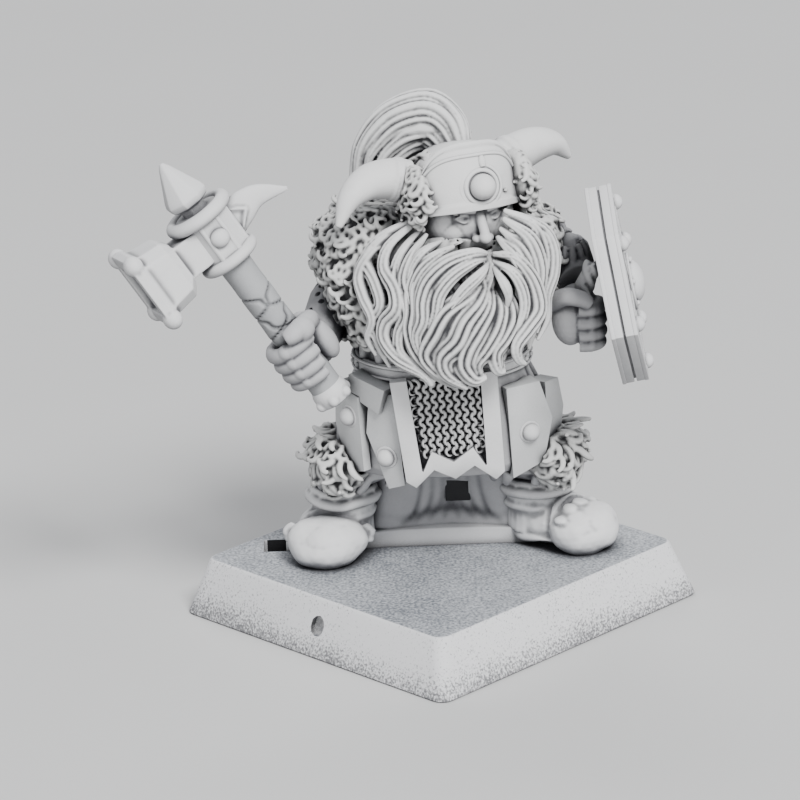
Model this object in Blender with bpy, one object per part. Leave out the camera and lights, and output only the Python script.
"""A tabletop miniature: a bearded, horn-helmeted fighter with a hammer and a shield.

The figure is a white-metal casting on a slotted square plastic base. It faces -Y and +Z is up.
Right and left are the figure's own. The origin is on the base's underside, below its middle,
on the foot of the slot's front wall.
"""

import math

import bmesh
import bpy
from mathutils import Matrix, Vector

MM = 0.001

# Clearances
SEAM = 0.06 * MM  # between neighbouring sculpted pieces
SLOT_PLAY = 0.2 * MM  # on each side of the tab in its slot
CUT_OVER = 1.0 * MM  # how far a cutter runs past what it cuts

# Base
BASE_SIDE = 25.4 * MM
BASE_HEIGHT = 4.0 * MM
BASE_INSET = 1.25 * MM  # each top edge lies this far inside the bottom edge
BASE_CORNER = 0.9 * MM
BASE_WALL = 1.3 * MM
BASE_PLATE = 1.3 * MM
SLOT_OFFSET = 1.7 * MM  # the slot lies behind the diagonal
SLOT_SPARE = 1.6 * MM  # the slot is longer than the tab by this at each end
SLOT_WALL = 1.2 * MM

# Tab under the feet
TAB_LENGTH = 21.2 * MM
TAB_THICKNESS = 1.8 * MM
TAB_LIFT = 0.4 * MM  # from the table to the tab's lower edge
TAB_END_RISE = 0.6 * MM  # above the base's top
TAB_MID_RISE = 1.2 * MM

# Heights of the figure, from the base's top upwards
BOOT_HEIGHT = 3.5 * MM
CUFF_HEIGHT = 1.2 * MM
HEM_HEIGHT = 6.7 * MM
SKIRT_HEIGHT = 7.4 * MM
TORSO_HEIGHT = 9.6 * MM
FUR_BELOW_HEM = 1.3 * MM
FUR_ABOVE_HEM = 2.1 * MM

# Middle of the body, and its half widths
BODY_X = 0.7 * MM
HEM_HALF_WIDTH = 7.3 * MM
HEM_HALF_DEPTH = 4.7 * MM
WAIST_HALF_WIDTH = 5.6 * MM
WAIST_HALF_DEPTH = 4.3 * MM
CHEST_HALF_WIDTH = 6.0 * MM
CHEST_HALF_DEPTH = 4.0 * MM

# Boots
FOOT_LENGTH = 7.6 * MM
FOOT_WIDTH = 5.5 * MM
TOE_HEIGHT = 3.3 * MM
SHAFT_RADIUS = 2.1 * MM
CUFF_RADIUS = 2.45 * MM
TROUSER_RADIUS = 2.3 * MM

# Armour on the skirt
PANEL_TOP_WIDTH = 7.5 * MM
PANEL_BOTTOM_WIDTH = 6.2 * MM
PANEL_HEIGHT = 7.4 * MM
PANEL_DEPTH = 0.8 * MM
BORDER_WIDTH = 1.35 * MM
BORDER_PROUD = 0.35 * MM
PANEL_TILT = math.radians(4.5)
PANEL_ROOT = 0.6 * MM  # how deep the panel goes on into the coat
TASSET_DEPTH = 0.7 * MM
TASSET_PROUD = 0.55 * MM  # how far a plate's face stands off the coat
RIVET_RADIUS = 0.62 * MM

# Head and helmet
HEAD_FORWARD = 1.7 * MM
HEAD_ASIDE = 1.7 * MM
HEAD_HALF_WIDTH = 2.9 * MM
HEAD_HALF_DEPTH = 3.2 * MM
HEAD_HALF_HEIGHT = 3.5 * MM
HEAD_TURN = math.radians(22)
BOWL_RADIUS = 3.7 * MM
BOWL_HEIGHT = 3.4 * MM
PLATE_DEPTH = 0.8 * MM
KNOB_RADIUS = 0.95 * MM
HORN_ROOT = 1.45 * MM
HORN_TIP = 0.25 * MM
CREST_HALF_WIDTH = 2.1 * MM
BEARD_LENGTH = 9.2 * MM
BEARD_HALF_WIDTH = 4.6 * MM

# Arms
ARM_RADIUS = 1.9 * MM
FIST_RADIUS = 1.95 * MM
FIST_WIDTH = 3.8 * MM  # across the knuckles

# Hammer
HAFT_RADIUS = 1.15 * MM
HAFT_LEAN = math.radians(32.5)  # out to the figure's right
HEAD_YAW = math.radians(20)  # the striking end comes forward
BELOW_GRIP = 3.4 * MM
ABOVE_GRIP = 12.0 * MM  # from the grip to the top of the haft
SOCKET_HEIGHT = 2.7 * MM
SOCKET_RADIUS = 1.85 * MM
COLLAR_RADIUS = 2.3 * MM
COLLAR_HEIGHT = 0.9 * MM
LOWER_COLLAR_RADIUS = 1.8 * MM
BLOCK_LENGTH = 3.5 * MM
BLOCK_NECK = 1.0 * MM
BLOCK_NEAR = 4.4 * MM
BLOCK_FAR = 6.3 * MM
FLUKE_LENGTH = 3.9 * MM
FLUKE_ROOT = 0.43 * SOCKET_HEIGHT  # half of its height where it leaves the socket
SPIKE_RADIUS = 1.4 * MM
SPIKE_HEIGHT = 3.6 * MM
SPIKE_NECK = 0.5 * MM
POMMEL_RADIUS = 1.25 * MM

# Shield
SHIELD_RADIUS = 6.7 * MM
SHIELD_DEPTH = 1.8 * MM
SHIELD_LEAN = math.radians(9.5)  # the top leans in
SHIELD_ROLL = math.radians(-17)
BOSS_RADIUS = 1.5 * MM
STUD_RADIUS = 0.55 * MM
STUD_RING = 5.4 * MM
GRIP_RADIUS = 0.6 * MM

X_AXIS = Vector((1, 0, 0))
Y_AXIS = Vector((0, 1, 0))
Z_AXIS = Vector((0, 0, 1))

# Landmarks that follow from the sizes above
GROUND = BASE_HEIGHT + SEAM
HEM = GROUND + HEM_HEIGHT
WAIST = HEM + SKIRT_HEIGHT
NECK = WAIST + TORSO_HEIGHT
SLOT_WIDTH = TAB_THICKNESS + 2 * SLOT_PLAY
SKIRT_FRONT = -HEM_HALF_DEPTH


# Materials

def primer(name, colour, roughness, metallic=0.0):
    """A Principled material of one colour."""
    material = bpy.data.materials.new(name)
    material.use_nodes = True
    shader = material.node_tree.nodes["Principled BSDF"]
    shader.inputs["Base Color"].default_value = (*colour, 1.0)
    shader.inputs["Roughness"].default_value = roughness
    shader.inputs["Metallic"].default_value = metallic
    material.diffuse_color = (*colour, 1.0)
    return material


def make_materials():
    return {
        "plastic": primer("base_plastic", (0.62, 0.63, 0.65), 0.8),
        "metal": primer("primed_metal", (0.78, 0.78, 0.79), 0.6),
        "cloth": primer("primed_cloth", (0.70, 0.70, 0.71), 0.7),
        "fur": primer("primed_fur", (0.64, 0.64, 0.65), 0.75),
        "hair": primer("primed_hair", (0.80, 0.80, 0.80), 0.65),
        "skin": primer("primed_skin", (0.74, 0.74, 0.74), 0.65),
        "armour": primer("primed_armour", (0.72, 0.72, 0.73), 0.55),
    }


# Shape helpers

def mm(x, y, z):
    return Vector((x, y, z)) * MM


def body_point(x, y, z):
    """A point given in mm from the middle of the body, at a height in metres."""
    return Vector((BODY_X + x * MM, y * MM, z))


def link(name, mesh, material):
    mesh.materials.append(material)
    mesh.shade_smooth()
    mesh.set_sharp_from_angle(angle=math.radians(40))
    thing = bpy.data.objects.new(name, mesh)
    bpy.context.scene.collection.objects.link(thing)
    return thing


def from_bmesh(name, bm, material):
    if bm.calc_volume(signed=True) < 0:
        bmesh.ops.reverse_faces(bm, faces=bm.faces)
    mesh = bpy.data.meshes.new(name)
    bm.to_mesh(mesh)
    bm.free()
    return link(name, mesh, material)


def loft(name, rings, material):
    """A closed solid through rings that all have the same number of points."""
    bm = bmesh.new()
    loops = [[bm.verts.new(point) for point in ring] for ring in rings]
    count = len(loops[0])
    for low, high in zip(loops, loops[1:]):
        for i in range(count):
            j = (i + 1) % count
            bm.faces.new((low[i], low[j], high[j], high[i]))
    caps = [bm.faces.new(list(reversed(loops[0]))), bm.faces.new(loops[-1])]
    bmesh.ops.triangulate(bm, faces=caps)
    return from_bmesh(name, bm, material)


def ring(centre, along, side, half_width, half_depth, sides, power=2.0):
    """A superellipse round centre, square to along, with its width along side."""
    across = (side - along * side.dot(along)).normalized()
    deep = along.cross(across)
    points = []
    for i in range(sides):
        angle = math.tau * i / sides
        c, s = math.cos(angle), math.sin(angle)
        u = math.copysign(abs(c) ** (2 / power), c) * half_width
        v = math.copysign(abs(s) ** (2 / power), s) * half_depth
        points.append(centre + across * u + deep * v)
    return points


def limb(name, stations, material, side=X_AXIS, sides=14, power=2.0, along=None):
    """A loft through (centre, half width, half depth), with rings square to the path or to along."""
    centres = [station[0] for station in stations]
    rings = []
    for i, (centre, half_width, half_depth) in enumerate(stations):
        before, after = centres[max(i - 1, 0)], centres[min(i + 1, len(centres) - 1)]
        way = along or (after - before).normalized()
        rings.append(ring(centre, way, side, half_width, half_depth, sides, power))
    return loft(name, rings, material)


def bezier(a, b, c, d, steps):
    """Points along a cubic curve from a to d, with b and c as its handles."""
    points = []
    for i in range(steps + 1):
        t = i / steps
        s = 1 - t
        points.append(a * s**3 + b * (3 * s * s * t) + c * (3 * s * t * t) + d * t**3)
    return points


def taper(points, start, end, flat=1.0, power=1.0):
    """Stations along points, from the radius start to end. flat is depth over width."""
    last = len(points) - 1
    radii = [start + (end - start) * (i / last) ** power for i in range(last + 1)]
    return [(point, r, r * flat) for point, r in zip(points, radii)]


def dome(name, centre, out, radius, height, material, sides=12):
    """A rounded rivet, boss or knob that stands on a flat foot."""
    steps = 3
    side = X_AXIS if abs(out.x) < 0.7 else Z_AXIS
    rings = []
    for i in range(steps + 1):
        angle = math.radians(80) * i / steps
        r, h = radius * math.cos(angle), height * math.sin(angle)
        rings.append(ring(centre + out * h, out, side, r, r, sides))
    return loft(name, rings, material)


def slab(name, outline, frame, depth, material):
    """An outline of (right, up) in metres in the frame, with its front face on the frame."""
    front = [frame @ Vector((u, 0, w)) for u, w in outline]
    back = [frame @ Vector((u, depth, w)) for u, w in outline]
    return loft(name, [back, front], material)


def upright_frame(origin, yaw=0.0, tilt=0.0, pitch=0.0):
    """Local X runs right, local Z up and local -Y out of the front face."""
    turn = Matrix.Rotation(yaw, 4, "Z") @ Matrix.Rotation(tilt, 4, "Y")
    return Matrix.Translation(origin) @ turn @ Matrix.Rotation(pitch, 4, "X")


def box(name, low, high, material):
    frame = Matrix.Identity(4)
    frame.translation = Vector((0, low.y, 0))
    outline = [(low.x, low.z), (high.x, low.z), (high.x, high.z), (low.x, high.z)]
    return slab(name, outline, frame, high.y - low.y, material)


# Joining and cutting

def hide(thing):
    thing.hide_render = True
    thing.display_type = "WIRE"
    return thing


def boolean(thing, other, operation, solver="EXACT"):
    modifier = thing.modifiers.new(operation.lower() + "_" + other.name, "BOOLEAN")
    modifier.operation = operation
    modifier.solver = solver
    modifier.object = other


def cut(thing, cutter):
    boolean(thing, hide(cutter), "DIFFERENCE")


def join(thing, *others):
    for other in others:
        boolean(thing, hide(other), "UNION")
    return thing


def swollen(thing):
    """A hidden copy of a piece as it was before any cut, larger by the seam all round."""
    name = thing.name + "_seam"
    if name in bpy.data.objects:
        return bpy.data.objects[name]
    bm = bmesh.new()
    bm.from_mesh(thing.data)
    bmesh.ops.triangulate(bm, faces=bm.faces)
    bm.normal_update()
    shifts = [v.normal * min(v.calc_shell_factor(), 2.0) * SEAM for v in bm.verts]
    for vert, shift in zip(bm.verts, shifts):
        vert.co += shift
    mesh = bpy.data.meshes.new(name)
    bm.to_mesh(mesh)
    bm.free()
    copy = bpy.data.objects.new(name, mesh)
    bpy.context.scene.collection.objects.link(copy)
    return hide(copy)


def reach_of(thing):
    """Lowest and highest corner of a piece."""
    points = [thing.matrix_world @ Vector(corner) for corner in thing.bound_box]
    return [[pick(p[i] for p in points) for i in range(3)] for pick in (min, max)]


def meet(one, other):
    """True if the boxes round two pieces overlap."""
    (low_a, high_a), (low_b, high_b) = reach_of(one), reach_of(other)
    return all(low_a[i] < high_b[i] and low_b[i] < high_a[i] for i in range(3))


def seat(thing, *neighbours):
    """Cuts the neighbours, with the seam round them, out of a piece, so that it seats on them.

    All of these are closed lofts. Where one only grazes another, the exact solver can empty the
    result, so this uses the manifold one.
    """
    for neighbour in neighbours:
        cutter = swollen(neighbour)
        if meet(thing, cutter):
            boolean(thing, cutter, "DIFFERENCE", solver="MANIFOLD")
    return thing


# Base and tab

def rounded_square(side, corner, z, steps=4):
    """A square with its corners on the X and Y axes, as one ring of points."""
    reach = side / math.sqrt(2)
    inner = reach - corner * math.sqrt(2)
    points = []
    for quarter in range(4):
        middle = quarter * math.pi / 2
        centre = Vector((math.cos(middle), math.sin(middle), 0)) * inner
        for i in range(steps + 1):
            angle = middle - math.pi / 4 + math.pi / 2 * i / steps
            arc = Vector((math.cos(angle), math.sin(angle), 0)) * corner
            points.append(centre + arc + Z_AXIS * z)
    return points


def make_base(materials):
    plastic = materials["plastic"]
    top_side = BASE_SIDE - 2 * BASE_INSET
    base = loft("base", [
        rounded_square(BASE_SIDE, BASE_CORNER, 0),
        rounded_square(top_side, BASE_CORNER, BASE_HEIGHT),
    ], plastic)
    ceiling = BASE_HEIGHT - BASE_PLATE
    slope = 2 * BASE_INSET / BASE_HEIGHT
    inner_side = BASE_SIDE - 2 * BASE_WALL
    inner_corner = 0.3 * BASE_CORNER
    cut(base, loft("base_hollow", [
        rounded_square(inner_side + slope * CUT_OVER, inner_corner, -CUT_OVER),
        rounded_square(inner_side - slope * ceiling, inner_corner, ceiling),
    ], plastic))
    half_slot = SLOT_WIDTH / 2
    for name, inner, outer in (("front", -1, -1), ("back", 1, 1)):
        near = SLOT_OFFSET + inner * (half_slot - 0.5 * SLOT_PLAY)
        far = SLOT_OFFSET + outer * (half_slot + SLOT_WALL)
        low, high = sorted((near, far))
        join(base, box(
            "slot_wall_" + name,
            Vector((-TAB_LENGTH / 2, low, 0)),
            Vector((TAB_LENGTH / 2, high, ceiling + BASE_PLATE / 2)), plastic))
    reach = TAB_LENGTH / 2 + SLOT_SPARE
    cut(base, box(
        "slot",
        Vector((-reach, SLOT_OFFSET - half_slot, -CUT_OVER)),
        Vector((reach, SLOT_OFFSET + half_slot, BASE_HEIGHT + CUT_OVER)), plastic))
    return base


def make_tab(materials):
    """The cast bar between the feet, with a bowed top edge."""
    half, steps = TAB_LENGTH / 2, 8
    outline = [(-half, TAB_LIFT), (half, TAB_LIFT)]
    for i in range(steps + 1):
        x = half - TAB_LENGTH * i / steps
        rise = TAB_END_RISE + (TAB_MID_RISE - TAB_END_RISE) * (1 - (x / half) ** 2)
        outline.append((x, BASE_HEIGHT + rise))
    frame = upright_frame(Vector((0, SLOT_OFFSET - TAB_THICKNESS / 2, 0)))
    return slab("slot_tab", outline, frame, TAB_THICKNESS, materials["metal"])


# Legs

LEGS = {
    # side: foot middle, toe direction, ankle and knee in mm from the body's middle
    "right": ((-8.4, 0.1), (-0.12, -1.0), (-7.2, 1.2), (-5.6, 0.8)),
    "left": ((7.8, 0.9), (0.78, -0.62), (6.2, 1.8), (5.2, 1.0)),
}


def boot(side, foot, toe, ankle, material):
    """A foot with a flat sole and a big round toe, joined to a short shaft."""
    toward = Vector((toe[0], toe[1], 0)).normalized()
    across = Vector((-toward.y, toward.x, 0))
    shape = (  # along the foot, half width and height as shares
        (-0.50, 0.45, 0.62), (-0.42, 0.72, 0.86), (-0.20, 0.84, 0.95), (0.05, 0.94, 0.98),
        (0.25, 1.00, 1.00), (0.40, 0.84, 0.86), (0.50, 0.42, 0.52),
    )
    rings = []
    for share, width, height in shape:
        centre = body_point(*foot, GROUND) + toward * (share * FOOT_LENGTH)
        centre.z = GROUND + 0.45 * height * TOE_HEIGHT
        half_width, half_height = width * FOOT_WIDTH / 2, 0.55 * height * TOE_HEIGHT
        points = ring(centre, toward, across, half_width, half_height, 14, 2.4)
        for point in points:
            point.z = max(point.z, GROUND)
        rings.append(points)
    shoe = loft("boot_" + side, rings, material)
    leg = body_point(*ankle, 0)
    top = GROUND + BOOT_HEIGHT
    shaft = limb("boot_shaft_" + side, [
        (leg + Z_AXIS * (GROUND + 0.3 * BOOT_HEIGHT), SHAFT_RADIUS * 1.05, SHAFT_RADIUS * 1.1),
        (leg + Z_AXIS * (GROUND + 0.7 * BOOT_HEIGHT), SHAFT_RADIUS, SHAFT_RADIUS),
        (leg + Z_AXIS * top, SHAFT_RADIUS, SHAFT_RADIUS),
    ], material)
    return join(shoe, shaft), shaft


def make_legs(materials, tab):
    legs = {}
    for side, (foot, toe, ankle, knee) in LEGS.items():
        shoe, shaft = boot(side, foot, toe, ankle, materials["metal"])
        seat(shoe, tab)
        foot_top = GROUND + BOOT_HEIGHT + SEAM
        cuff_top = foot_top + CUFF_HEIGHT
        rim = body_point(*ankle, 0)
        cuff = limb("boot_cuff_" + side, [
            (rim + Z_AXIS * foot_top, 0.90 * CUFF_RADIUS, 0.90 * CUFF_RADIUS),
            (rim + Z_AXIS * (foot_top + 0.35 * CUFF_HEIGHT), CUFF_RADIUS, CUFF_RADIUS),
            (rim + Z_AXIS * (foot_top + 0.75 * CUFF_HEIGHT), CUFF_RADIUS, CUFF_RADIUS),
            (rim + Z_AXIS * cuff_top, 0.92 * CUFF_RADIUS, 0.92 * CUFF_RADIUS),
        ], materials["cloth"])
        trouser = limb("trouser_" + side, [
            (rim + Z_AXIS * (cuff_top + SEAM), 0.95 * TROUSER_RADIUS, 0.95 * TROUSER_RADIUS),
            (body_point(*knee, 0.5 * (cuff_top + HEM)), 1.12 * TROUSER_RADIUS, 1.1 * TROUSER_RADIUS),
            (body_point(*knee, HEM - SEAM), 1.1 * TROUSER_RADIUS, 1.1 * TROUSER_RADIUS),
        ], materials["cloth"], along=Z_AXIS)
        legs[side] = (shoe, shaft, cuff, trouser)
    return legs


# Coat

def make_coat(materials, tab, legs):
    cloth = materials["cloth"]
    middle = 0.5 * (HEM + WAIST)
    skirt = limb("coat_skirt", [
        (body_point(0, 0, HEM), 0.93 * HEM_HALF_WIDTH, 0.93 * HEM_HALF_DEPTH),
        (body_point(0, 0, HEM + 0.1 * SKIRT_HEIGHT), HEM_HALF_WIDTH, HEM_HALF_DEPTH),
        (body_point(0, 0, middle), 0.97 * HEM_HALF_WIDTH, HEM_HALF_DEPTH),
        (body_point(0, 0, WAIST), WAIST_HALF_WIDTH, WAIST_HALF_DEPTH),
    ], cloth, sides=20, power=2.3, along=Z_AXIS)
    chest = WAIST + 0.55 * TORSO_HEIGHT
    torso = limb("torso", [
        (body_point(0, 0, WAIST + SEAM), WAIST_HALF_WIDTH, WAIST_HALF_DEPTH),
        (body_point(0, 0, chest), CHEST_HALF_WIDTH, CHEST_HALF_DEPTH),
        (body_point(0.3, 0, NECK - 0.12 * TORSO_HEIGHT), 0.85 * CHEST_HALF_WIDTH, 0.9 * CHEST_HALF_DEPTH),
        (body_point(0.8, -0.6, NECK), 0.45 * CHEST_HALF_WIDTH, 0.6 * CHEST_HALF_DEPTH),
    ], cloth, sides=18, along=Z_AXIS)
    tail_foot = BASE_HEIGHT + TAB_MID_RISE
    tail = limb("coat_tail", [
        (body_point(0.2, 4.6, tail_foot), 0.78 * HEM_HALF_WIDTH, 0.8 * MM),
        (body_point(0.2, 4.2, 0.5 * (tail_foot + HEM)), 0.84 * HEM_HALF_WIDTH, 1.0 * MM),
        (body_point(0.2, 3.2, HEM - SEAM), 0.84 * HEM_HALF_WIDTH, 1.2 * MM),
    ], cloth, sides=16, power=3.0, along=Z_AXIS)
    for parts in legs.values():
        seat(tail, *parts)
    seat(tail, tab)
    return {"skirt": skirt, "torso": torso, "tail": tail}


def make_fur_hems(materials, legs, skirt, plates):
    """The shaggy lining that shows below the coat beside each leg."""
    hems = {}
    for side, middle, half_width in (("right", -7.0, 2.2), ("left", 7.2, 2.2)):
        bottom, top = HEM - FUR_BELOW_HEM, HEM + FUR_ABOVE_HEM
        hem = limb("fur_hem_" + side, [
            (body_point(middle, 0, bottom), 0.70 * half_width * MM, 2.4 * MM),
            (body_point(middle, 0, bottom + 0.9 * MM), half_width * MM, 3.3 * MM),
            (body_point(middle, 0, top - 1.0 * MM), half_width * MM, 3.3 * MM),
            (body_point(middle, 0, top), 0.6 * half_width * MM, 2.4 * MM),
        ], materials["fur"])
        hems[side] = seat(hem, skirt, *legs[side], *plates)
    return hems


# Armour on the front of the coat

def panel_frame():
    """Middle of the panel's top edge, on the border's front face."""
    front = SKIRT_FRONT - PANEL_DEPTH
    return upright_frame(Vector((BODY_X + 0.35 * MM, front, WAIST)), tilt=-PANEL_TILT)


def make_panel(materials, skirt, torso):
    armour, frame = materials["armour"], panel_frame()
    half_top, half_bottom = PANEL_TOP_WIDTH / 2, PANEL_BOTTOM_WIDTH / 2
    top_in, bottom_in = half_top - BORDER_WIDTH, half_bottom - BORDER_WIDTH
    depth = PANEL_DEPTH + PANEL_ROOT
    point_up = PANEL_HEIGHT - 1.8 * BORDER_WIDTH
    sunk = frame @ Matrix.Translation(Vector((0, BORDER_PROUD, 0)))
    mail = slab("mail_panel", [
        (-top_in, 0), (-bottom_in, -point_up), (bottom_in, -point_up), (top_in, 0),
    ], sunk, depth - BORDER_PROUD, armour)
    strips = []
    for side, sign in (("right", -1), ("left", 1)):
        strips.append(slab("panel_border_" + side, [
            (sign * (top_in + SEAM), 0), (sign * half_top, 0),
            (sign * half_bottom, -point_up), (sign * (bottom_in + SEAM), -point_up),
        ], frame, depth, armour))
    upper, lower = [], []
    teeth = 4
    for i in range(teeth + 1):
        u = -half_bottom + 2 * half_bottom * i / teeth
        drop = 0.0 if i % 2 else BORDER_WIDTH
        upper.append((u, -point_up - SEAM - 0.5 * drop))
        lower.append((u, -point_up - BORDER_WIDTH - drop * 0.8))
    bottom = slab("panel_border_bottom", lower + upper[::-1], frame, depth, armour)
    for piece in (mail, *strips, bottom):
        seat(piece, skirt, torso)
    return [mail, *strips, bottom]


TASSETS = {
    # name: place across as a share of the hem's half width, mm above the waist, yaw, outline in mm, lift
    "tasset_right_inner": (
        -0.53, -4.3, -24, ((-1.0, 3.0), (0.9, 3.3), (1.4, -3.2), (0.2, -3.6), (-1.3, 0.3)), 0.0),
    "tasset_right_outer": (
        -0.81, -4.1, -52, ((-1.5, 3.2), (0.9, 2.6), (1.3, -2.6), (-0.4, -3.1), (-1.7, 0.2)), 0.0),
    "waist_plate_right": (-0.60, -1.5, -40, ((-1.6, 1.5), (1.5, 0.9), (0.9, -0.9), (-1.8, 0.1)), 0.55),
    "tasset_left_inner": (
        0.74, -4.2, 26, ((-1.5, 3.1), (1.0, 3.2), (1.9, 0.4), (1.2, -2.6), (-1.2, -3.4)), 0.0),
    "tasset_left_outer": (
        0.96, -3.8, 58, ((-1.0, 2.4), (0.7, 2.2), (1.3, 0.0), (0.7, -2.2), (-0.9, -2.4)), 0.0),
}
RIVETS = {
    # plate that carries the rivet: its place on the plate in mm
    "tasset_right_inner": (0.1, -1.3),
    "tasset_right_outer": (-0.1, 1.0),
    "tasset_left_inner": (0.2, -0.3),
}


def make_tassets(materials, skirt, panel):
    """Hanging plates, seated on the coat and on each other, and their rivets."""
    armour = materials["armour"]
    plates = {}
    for name, (u, w, yaw, outline, lift) in TASSETS.items():
        yaw = math.radians(yaw)
        out = Vector((math.sin(yaw), -math.cos(yaw), 0))
        share = -w * MM / SKIRT_HEIGHT
        half_width = WAIST_HALF_WIDTH + share * (HEM_HALF_WIDTH - WAIST_HALF_WIDTH)
        half_depth = WAIST_HALF_DEPTH + share * (HEM_HALF_DEPTH - WAIST_HALF_DEPTH)
        x = u * HEM_HALF_WIDTH
        y = -half_depth * math.sqrt(max(0.05, 1 - (x / (half_width * 1.12)) ** 2))
        origin = Vector((BODY_X + x, y, WAIST + w * MM)) + out * (TASSET_PROUD + lift * MM)
        frame = upright_frame(origin, yaw=yaw)
        plate = slab(name, [(a * MM, b * MM) for a, b in outline], frame, 2 * TASSET_DEPTH, armour)
        seat(plate, skirt, *panel, *(plates[other][0] for other in plates))
        plates[name] = (plate, frame, out)
    for number, (name, (u, w)) in enumerate(RIVETS.items(), 1):
        _plate, frame, out = plates[name]
        foot = frame @ Vector((u * MM, 0, w * MM)) + out * SEAM
        dome(f"tasset_rivet_{number}", foot, out, RIVET_RADIUS, 0.7 * RIVET_RADIUS, armour)
    return [plate for plate, _frame, _out in plates.values()]


# Head

def head_point(x, y, z):
    """A point in mm from the head's middle, in the turned head's own directions."""
    middle = Vector((BODY_X + HEAD_ASIDE, -HEAD_FORWARD, NECK + 1.7 * MM))
    return middle + Matrix.Rotation(HEAD_TURN, 3, "Z") @ mm(x, y, z)


def head_way(x, y, z):
    return Matrix.Rotation(HEAD_TURN, 3, "Z") @ Vector((x, y, z)).normalized()


def make_head(materials, torso):
    side = head_way(1, 0, 0)
    shape = ((-1.0, 0.35), (-0.85, 0.62), (-0.45, 0.92), (0.0, 1.0), (0.25, 0.98))
    head = limb("head", [
        (head_point(0, -0.4 if z < 0 else 0, z * HEAD_HALF_HEIGHT / MM),
         r * HEAD_HALF_WIDTH, r * HEAD_HALF_DEPTH) for z, r in shape
    ], materials["skin"], side=side, sides=16)
    return seat(head, torso)


def make_helmet(materials, head):
    armour, side = materials["armour"], head_way(1, 0, 0)
    rim = 0.25 * HEAD_HALF_HEIGHT / MM + SEAM / MM
    high = BOWL_HEIGHT / MM
    shape = ((0.0, 1.0), (0.3, 0.97), (0.6, 0.82), (0.85, 0.55), (1.0, 0.22))
    bowl = limb("helmet_bowl", [
        (head_point(0, 0.2, rim + share * high), r * BOWL_RADIUS, r * BOWL_RADIUS * 1.05)
        for share, r in shape
    ], armour, side=side, sides=18)
    frame = upright_frame(head_point(0, -(BOWL_RADIUS / MM) - 0.35, rim - 0.1), yaw=HEAD_TURN,
                          pitch=math.radians(-14))
    outline = [(u * MM, w * MM) for u, w in (
        (-3.3, 0.0), (3.3, 0.0), (3.2, 1.6), (2.3, 3.6), (0.9, 4.1), (-0.9, 4.1), (-2.3, 3.6), (-3.2, 1.6),
    )]
    plate = slab("helmet_brow_plate", outline, frame, PLATE_DEPTH * 3.2, armour)
    seat(plate, bowl, head)
    out = (frame.to_3x3() @ -Y_AXIS).normalized()
    foot = frame @ mm(0.4, 0, 1.5) + out * SEAM
    knob = dome("helmet_knob", foot, out, KNOB_RADIUS, 1.1 * KNOB_RADIUS, armour)
    return {"bowl": bowl, "plate": plate, "knob": knob}


def make_horns(materials, helmet):
    """The right horn curls down and forward, and the left one reaches out to its side."""
    z = BOWL_HEIGHT / MM * 0.42 + 0.9
    wide = BOWL_RADIUS / MM
    paths = {
        "right": ((0.7 - wide, 0.2, z - 0.4), (-1.9 - wide, 0.6, z + 0.4),
                  (-4.7 - wide, -0.6, z + 0.1), (-5.7 - wide, -1.2, z - 2.4)),
        "left": ((wide - 1.1, 0.5, z - 0.5), (wide + 0.9, 1.1, z + 0.6),
                 (wide + 3.7, 1.7, z + 0.8), (wide + 5.1, 1.7, z - 0.9)),
    }
    horns = {}
    for side, path in paths.items():
        points = bezier(*(head_point(*point) for point in path), 7)
        stations = taper(points, HORN_ROOT, HORN_TIP, power=2.0)
        horn = limb("horn_" + side, stations, materials["armour"], side=Y_AXIS, sides=12)
        horns[side] = seat(horn, helmet["bowl"], helmet["plate"])
    return horns


def make_crest(materials, helmet):
    """The topknot that rises from the bowl and falls behind the right horn."""
    z = BOWL_HEIGHT / MM
    points = bezier(head_point(0.9, 1.2, z - 0.2), head_point(-0.4, 3.0, z + 3.0),
                    head_point(-4.0, 4.4, z + 1.9), head_point(-5.6, 4.8, z - 2.6), 8)
    widths = (0.55, 0.75, 0.95, 1.0, 1.0, 0.95, 0.8, 0.6, 0.3)
    stations = [(p, w * CREST_HALF_WIDTH, w * 0.75 * CREST_HALF_WIDTH) for p, w in zip(points, widths)]
    crest = limb("crest", stations, materials["hair"], side=Y_AXIS, sides=14)
    return seat(crest, helmet["bowl"])


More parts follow.
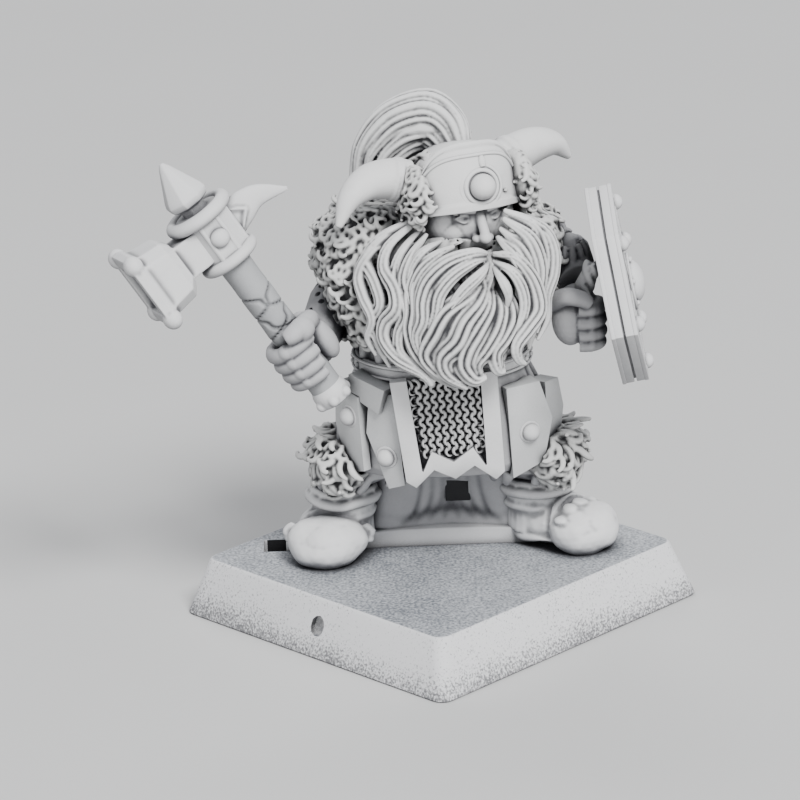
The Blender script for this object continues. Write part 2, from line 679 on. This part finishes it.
def make_beard(materials, head, torso, skirt, panel, helmet, horns):
    hair = materials["hair"]
    side = head_way(1, 0, 0)
    moustache = limb("moustache", [
        (head_point(x, y, z), w * MM, 0.75 * w * MM) for x, y, z, w in (
            (-4.6, -2.2, -5.6, 0.25), (-3.4, -3.4, -4.2, 0.6), (-1.6, -4.0, -2.6, 0.85),
            (0.0, -4.1, -1.9, 0.8), (1.6, -4.0, -2.6, 0.85), (3.4, -3.4, -4.2, 0.6), (4.6, -2.2, -5.6, 0.25))
    ], hair, side=Z_AXIS, sides=10)
    seat(moustache, head)
    top = NECK + 0.2 * MM
    stations = []
    for share, width, depth, aside, ahead in (
        (0.00, 0.62, 1.6, 1.9, 3.4), (0.16, 0.90, 2.2, 1.9, 4.1), (0.38, 1.00, 2.5, 1.7, 4.9),
        (0.62, 0.92, 2.2, 1.5, 5.3), (0.82, 0.74, 1.7, 1.4, 5.6), (0.94, 0.52, 1.2, 1.3, 5.8),
        (1.00, 0.30, 0.6, 1.3, 5.9),
    ):
        centre = body_point(aside, -ahead, top - share * BEARD_LENGTH)
        stations.append((centre, width * BEARD_HALF_WIDTH, depth * MM))
    beard = limb("beard", stations, hair, side=side, sides=18)
    seat(beard, torso, head, moustache, skirt, *panel)
    locks = {}
    paths = {
        "right": ((-2.9, 0.2, 0.2), (-5.9, -0.8, -2.6), (-5.8, -2.0, -6.8), (-4.2, -3.8, -10.8)),
        "left": ((3.0, 0.4, 0.0), (4.9, -0.2, -2.6), (4.8, -1.4, -6.6), (3.2, -3.2, -10.2)),
    }
    for name, path in paths.items():
        points = bezier(*(head_point(*point) for point in path), 6)
        widths = (0.8, 1.1, 1.35, 1.4, 1.2, 0.9, 0.35)
        stations = [(point, w * MM, 1.1 * w * MM) for point, w in zip(points, widths)]
        lock = limb("side_hair_" + name, stations, hair, side=Y_AXIS, sides=12)
        seat(lock, beard, torso, head, moustache, skirt, helmet["bowl"], helmet["plate"], horns[name])
        locks[name] = lock
    return {"beard": beard, "moustache": moustache, "right": locks["right"], "left": locks["left"]}


# Hammer and its hand

def hammer_axes():
    """(up the haft, towards the striking end, across)."""
    up = Vector((-math.sin(HAFT_LEAN), 0, math.cos(HAFT_LEAN)))
    out = Vector((-math.cos(HAFT_LEAN), 0, -math.sin(HAFT_LEAN)))
    strike = Matrix.Rotation(HEAD_YAW, 3, up) @ out
    return up, strike, up.cross(strike)


def grip_point():
    return body_point(-9.6, -4.2, WAIST + 2.4 * MM)


def make_hammer(materials):
    metal = materials["metal"]
    up, strike, across = hammer_axes()
    grip = grip_point()
    foot, top = grip - up * BELOW_GRIP, grip + up * ABOVE_GRIP
    collar_low = top - up * (2 * COLLAR_HEIGHT + SOCKET_HEIGHT)
    haft = limb("haft", [
        (foot, 0.85 * HAFT_RADIUS, 0.85 * HAFT_RADIUS), (grip, HAFT_RADIUS, HAFT_RADIUS),
        (collar_low - up * SEAM, HAFT_RADIUS, HAFT_RADIUS),
    ], metal, side=across, sides=12)
    pommel = limb("pommel", [
        (foot - up * SEAM, 0.85 * POMMEL_RADIUS, 0.85 * POMMEL_RADIUS),
        (foot - up * 0.6 * MM, POMMEL_RADIUS, POMMEL_RADIUS),
        (foot - up * 1.2 * MM, 0.8 * POMMEL_RADIUS, 0.8 * POMMEL_RADIUS),
    ], metal, side=across, sides=12)

    def drum(name, low, height, radius, bulge=0.0):
        return limb(name, [
            (low, radius - bulge, radius - bulge), (low + up * height * 0.3, radius, radius),
            (low + up * height * 0.7, radius, radius), (low + up * height, radius - bulge, radius - bulge),
        ], metal, side=across, sides=16)

    bulge = 0.25 * MM
    lower = drum("collar_lower", collar_low, COLLAR_HEIGHT - SEAM, LOWER_COLLAR_RADIUS, bulge)
    socket_low = collar_low + up * COLLAR_HEIGHT
    socket = drum("hammer_socket", socket_low, SOCKET_HEIGHT - SEAM, SOCKET_RADIUS)
    collar_high = socket_low + up * SOCKET_HEIGHT
    upper = drum("collar_upper", collar_high, COLLAR_HEIGHT, COLLAR_RADIUS, bulge)
    middle = socket_low + up * 0.5 * SOCKET_HEIGHT
    start = SOCKET_RADIUS * 0.6
    near = SOCKET_RADIUS + BLOCK_NECK
    block = limb("hammer_block", [
        (middle + strike * start, 0.30 * BLOCK_NEAR, 0.30 * BLOCK_NEAR),
        (middle + strike * near, 0.34 * BLOCK_NEAR, 0.34 * BLOCK_NEAR),
        (middle + strike * (near + 0.4 * MM), 0.52 * BLOCK_NEAR, 0.52 * BLOCK_NEAR),
        (middle + strike * (near + 0.6 * BLOCK_LENGTH), 0.50 * BLOCK_NEAR, 0.50 * BLOCK_NEAR),
        (middle + strike * (near + 0.85 * BLOCK_LENGTH), BLOCK_FAR / 2, BLOCK_FAR / 2),
        (middle + strike * (near + BLOCK_LENGTH), BLOCK_FAR / 2, BLOCK_FAR / 2),
    ], metal, side=across, sides=16, power=6.0)
    seat(block, socket, lower, upper)
    points = bezier(middle - strike * start, middle - strike * (0.6 * FLUKE_LENGTH) + up * 0.3 * MM,
                    middle - strike * (SOCKET_RADIUS + 0.5 * FLUKE_LENGTH) + up * 0.2 * MM,
                    middle - strike * (SOCKET_RADIUS + 0.95 * FLUKE_LENGTH) - up * 1.2 * MM, 5)
    fluke = limb("hammer_fluke", taper(points, FLUKE_ROOT, 0.25 * MM, flat=0.5), metal, side=up, sides=10)
    seat(fluke, socket, lower, upper)
    crown = collar_high + up * (COLLAR_HEIGHT + SEAM)
    limb("hammer_spike", [
        (crown, 0.6 * SPIKE_RADIUS, 0.6 * SPIKE_RADIUS),
        (crown + up * SPIKE_NECK, 0.65 * SPIKE_RADIUS, 0.65 * SPIKE_RADIUS),
        (crown + up * (SPIKE_NECK + 0.4 * MM), SPIKE_RADIUS, SPIKE_RADIUS),
        (crown + up * SPIKE_HEIGHT, 0.16 * SPIKE_RADIUS, 0.16 * SPIKE_RADIUS),
    ], metal, side=across, sides=8)
    out = -Y_AXIS - up * (-Y_AXIS).dot(up)
    out.normalize()
    dome("socket_rivet", middle + out * (SOCKET_RADIUS + SEAM), out, RIVET_RADIUS, RIVET_RADIUS, metal)
    return haft, pommel


def make_fist(name, grip, along, material):
    """A closed hand round a bar that runs along a direction through the grip."""
    stations = [(-0.5, 0.75), (-0.34, 1.0), (0.34, 1.0), (0.5, 0.75)]
    side = Y_AXIS if abs(along.y) < 0.7 else X_AXIS
    return limb(name, [
        (grip + along * (share * FIST_WIDTH), r * FIST_RADIUS, r * FIST_RADIUS) for share, r in stations
    ], material, side=side, power=2.6)


def make_right_arm(materials, haft, coat, hair, plates):
    up, _strike, _across = hammer_axes()
    grip = grip_point()
    fist = seat(make_fist("fist_right", grip, up, materials["skin"]), haft)
    elbow = body_point(-6.6, 2.4, WAIST + 4.0 * MM)
    wrist = grip + Vector((1.2 * MM, 1.4 * MM, 0))
    reach = wrist - elbow
    forearm = limb("forearm_right", [
        (elbow, 0.95 * ARM_RADIUS, 0.95 * ARM_RADIUS), (elbow + reach * 0.3, ARM_RADIUS, ARM_RADIUS),
        (wrist, 0.72 * ARM_RADIUS, 0.72 * ARM_RADIUS),
    ], materials["armour"])
    seat(forearm, fist, haft, coat["torso"], coat["skirt"], hair, *plates)
    shoulder = body_point(-4.8, 1.2, NECK - 1.6 * MM)
    upper = limb("upper_arm_right", [
        (shoulder, 1.15 * ARM_RADIUS, 1.15 * ARM_RADIUS),
        (shoulder.lerp(elbow, 0.5) - X_AXIS * 0.6 * MM, 1.1 * ARM_RADIUS, 1.1 * ARM_RADIUS),
        (elbow, ARM_RADIUS, ARM_RADIUS),
    ], materials["cloth"], side=Y_AXIS)
    seat(upper, forearm, coat["torso"], hair)
    return [fist, forearm, upper]


# Shield and its hand

def shield_frame():
    """Local X comes out of the shield's face, local Z runs up it."""
    centre = body_point(12.0, -4.4, WAIST + 6.2 * MM)
    return Matrix.Translation(centre) @ Matrix.Rotation(-SHIELD_LEAN, 4, "Y")


def make_shield(materials):
    metal, frame = materials["metal"], shield_frame()
    half = SHIELD_DEPTH / 2
    turn = Matrix.Rotation(SHIELD_ROLL, 4, "X")
    corners = [math.tau * i / 6 for i in range(6)]

    def hexagon(x, radius):
        return [frame @ turn @ Vector((x, -radius * math.sin(a), radius * math.cos(a))) for a in corners]

    edge = 0.2 * MM
    board = loft("shield_board", [
        hexagon(-half, SHIELD_RADIUS - edge), hexagon(-half + edge, SHIELD_RADIUS),
        hexagon(half - edge, SHIELD_RADIUS), hexagon(half, SHIELD_RADIUS - edge),
    ], metal)
    out = (frame.to_3x3() @ X_AXIS).normalized()
    for number, angle in enumerate(corners, 1):
        foot = frame @ turn @ Vector((half - SEAM, -STUD_RING * math.sin(angle), STUD_RING * math.cos(angle)))
        join(board, dome(f"stud_{number}", foot, out, STUD_RADIUS, STUD_RADIUS + SEAM, metal, sides=8))
    dome("shield_boss", frame @ Vector((half + SEAM, 0, 0)), out, BOSS_RADIUS, 0.6 * BOSS_RADIUS, metal)
    return board


def make_left_arm(materials, board, coat, hair):
    frame = shield_frame()
    half = SHIELD_DEPTH / 2
    palm = frame @ Vector((-half - SEAM - FIST_RADIUS, 1.2 * MM, -2.1 * MM))
    fist = seat(make_fist("fist_left", palm, -Y_AXIS, materials["skin"]), board)
    grip = limb("shield_grip", [
        (palm + Z_AXIS * 3.4 * MM + X_AXIS * 0.9 * MM, GRIP_RADIUS, GRIP_RADIUS),
        (palm + Z_AXIS * 2.1 * MM + X_AXIS * 0.1 * MM, GRIP_RADIUS, GRIP_RADIUS),
        (palm + Z_AXIS * 0.6 * MM, GRIP_RADIUS, GRIP_RADIUS),
    ], materials["metal"], side=Y_AXIS, sides=10)
    seat(grip, board)
    seat(fist, grip)
    wrist = palm + mm(-0.1, 1.9, 1.6)
    elbow = body_point(8.6, 2.2, NECK - 3.4 * MM)
    forearm = limb("forearm_left", [
        (elbow, ARM_RADIUS, ARM_RADIUS), (elbow.lerp(wrist, 0.5), 0.95 * ARM_RADIUS, 0.95 * ARM_RADIUS),
        (wrist, 0.75 * ARM_RADIUS, 0.75 * ARM_RADIUS),
    ], materials["cloth"])
    seat(forearm, fist, board, grip, coat["torso"], hair)
    shoulder = body_point(4.8, 1.4, NECK - 1.8 * MM)
    upper = limb("upper_arm_left", [
        (shoulder, 1.1 * ARM_RADIUS, 1.1 * ARM_RADIUS),
        (elbow, ARM_RADIUS, ARM_RADIUS),
    ], materials["cloth"], side=Z_AXIS)
    seat(upper, forearm, coat["torso"], board, hair)
    return [fist, forearm, upper]


# Fur mantle

def make_mantle(materials, coat, arms, hair, helmet, head, horns, crest):
    """Curly fur over both shoulders and across the back of the neck."""
    fur = materials["fur"]
    around = [coat["torso"], coat["skirt"], head, helmet["bowl"], *hair.values(), *horns.values(), crest]
    mantle = {}
    for name, sign in (("right", -1), ("left", 1)):
        stations = [
            (body_point(sign * 4.9, -0.9, NECK - 7.2 * MM), 1.3 * MM, 2.8 * MM),
            (body_point(sign * 5.2, -0.4, NECK - 4.8 * MM), 2.2 * MM, 4.0 * MM),
            (body_point(sign * 5.5, 0.4, NECK - 2.2 * MM), 2.9 * MM, 4.2 * MM),
            (body_point(sign * 5.0, 0.8, NECK - 0.2 * MM), 2.9 * MM, 3.8 * MM),
            (body_point(sign * 4.2, 1.0, NECK + 1.1 * MM), 2.0 * MM, 2.8 * MM),
        ]
        piece = limb("fur_mantle_" + name, stations, fur, sides=16, along=Z_AXIS)
        mantle[name] = seat(piece, *around, *arms[name])
    back = limb("fur_mantle_back", [
        (body_point(-3.0, 4.4, NECK - 2.4 * MM), 2.0 * MM, 0.9 * MM),
        (body_point(-1.0, 4.6, NECK - 1.0 * MM), 2.8 * MM, 1.3 * MM),
        (body_point(1.6, 4.6, NECK - 1.0 * MM), 2.8 * MM, 1.3 * MM),
        (body_point(3.6, 4.4, NECK - 2.4 * MM), 2.0 * MM, 0.9 * MM),
    ], fur, side=Z_AXIS, sides=12)
    seat(back, *around, *mantle.values(), arms["right"][2], arms["left"][2])


def main():
    for thing in list(bpy.data.objects):
        bpy.data.objects.remove(thing, do_unlink=True)
    materials = make_materials()
    make_base(materials)
    tab = make_tab(materials)
    legs = make_legs(materials, tab)
    coat = make_coat(materials, tab, legs)
    panel = make_panel(materials, coat["skirt"], coat["torso"])
    plates = make_tassets(materials, coat["skirt"], panel)
    make_fur_hems(materials, legs, coat["skirt"], plates)
    head = make_head(materials, coat["torso"])
    helmet = make_helmet(materials, head)
    horns = make_horns(materials, helmet)
    crest = make_crest(materials, helmet)
    hair = make_beard(materials, head, coat["torso"], coat["skirt"], panel, helmet, horns)
    haft, _pommel = make_hammer(materials)
    board = make_shield(materials)
    arms = {
        "right": make_right_arm(materials, haft, coat, hair["right"], plates),
        "left": make_left_arm(materials, board, coat, hair["left"]),
    }
    make_mantle(materials, coat, arms, hair, helmet, head, horns, crest)


main()
